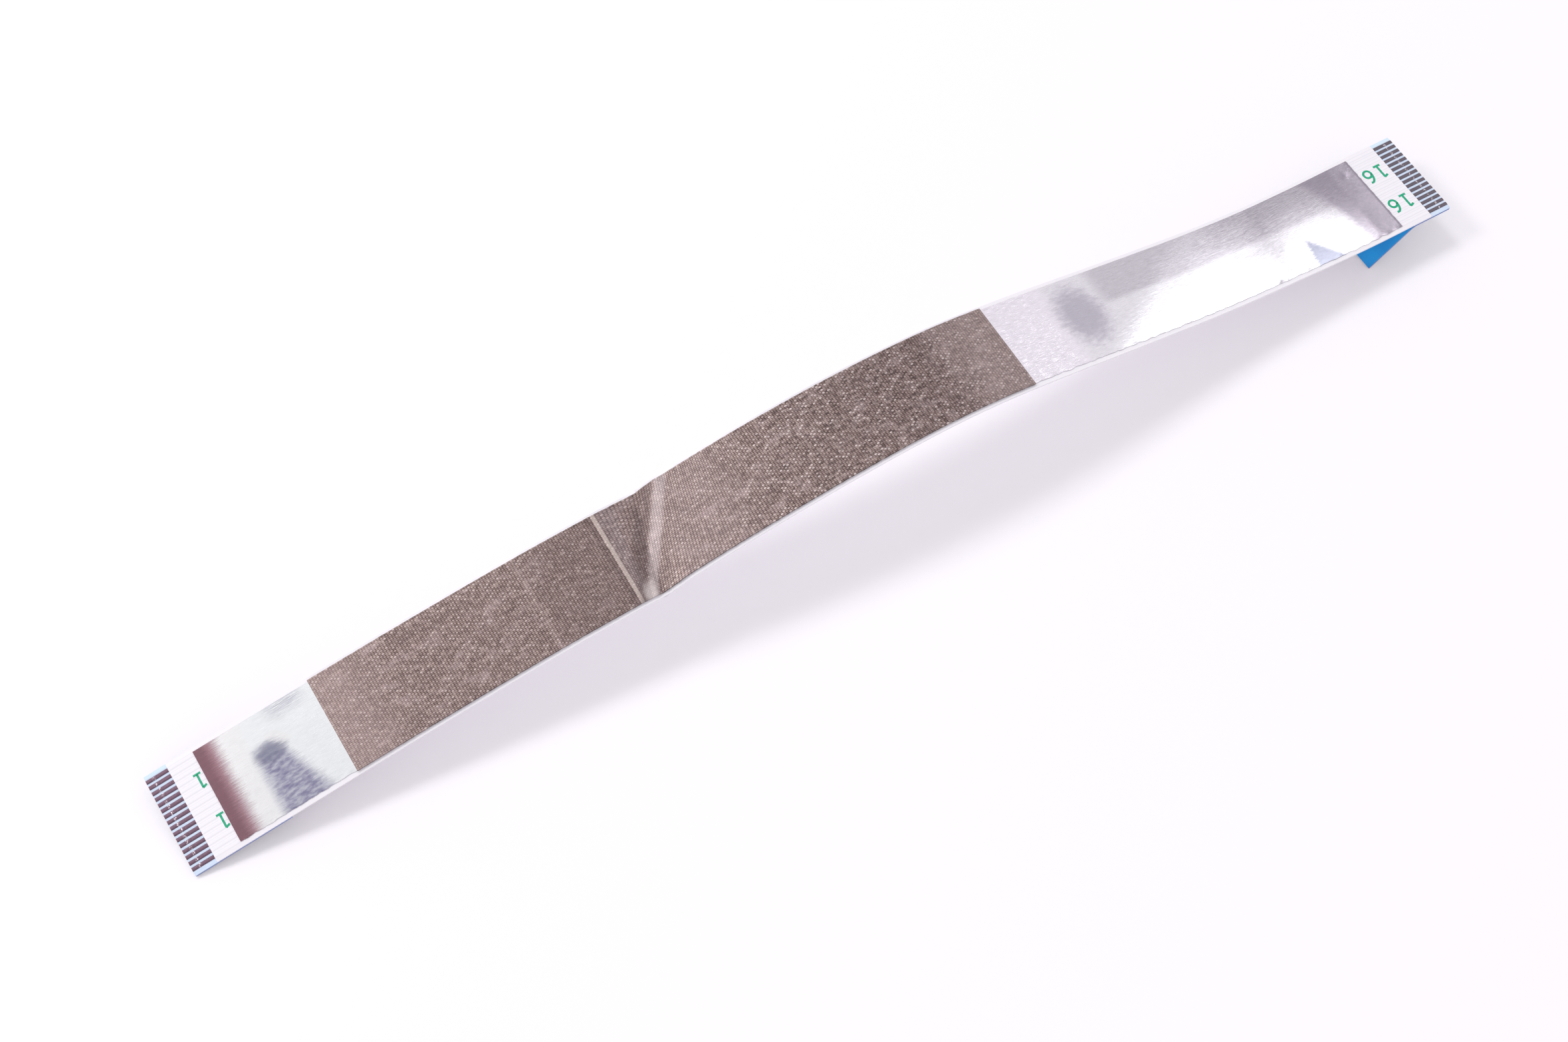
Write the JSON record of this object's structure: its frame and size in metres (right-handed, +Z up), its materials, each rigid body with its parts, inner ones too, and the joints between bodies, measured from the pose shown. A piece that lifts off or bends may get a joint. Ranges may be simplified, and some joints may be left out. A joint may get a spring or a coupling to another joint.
{
  "type": "flat flex cable",
  "caption": "Shielded flat flex cable with bare contacts at both ends, foil and woven shield tape on top, end stiffeners and a pull tab.",
  "frame": {"origin": "on the table, under the middle of the cable's overall box", "axes": "+X along the cable from its left end to the end with the pull tab, +Z up, out of the shielded face"},
  "size_m": [0.1148, 0.0086, 0.0104],
  "materials": {
    "film": "white polyester film, smooth, with faint ridges over the conductors",
    "conductor": "flat copper strip, tin plated, dull grey",
    "stiffener": "blue polyester sheet",
    "foil": "thin aluminium foil, bright, brushed lengthwise, slightly rippled",
    "tape": "woven metal-plated fabric tape, grey brown with a soft sheen"
  },
  "bodies": {
    "root": {"bottom_film": "film", "top_film": "film", "conductor_01": "conductor", "conductor_02": "conductor", "conductor_03": "conductor", "conductor_04": "conductor", "conductor_05": "conductor", "conductor_06": "conductor", "conductor_07": "conductor", "conductor_08": "conductor", "conductor_09": "conductor", "conductor_10": "conductor", "conductor_11": "conductor", "conductor_12": "conductor", "conductor_13": "conductor", "conductor_14": "conductor", "conductor_15": "conductor", "conductor_16": "conductor", "left_stiffener": "stiffener", "pull_tab_stiffener": "stiffener", "shield_foil": "foil", "shield_tape": "tape"}
  },
  "joints": []
}
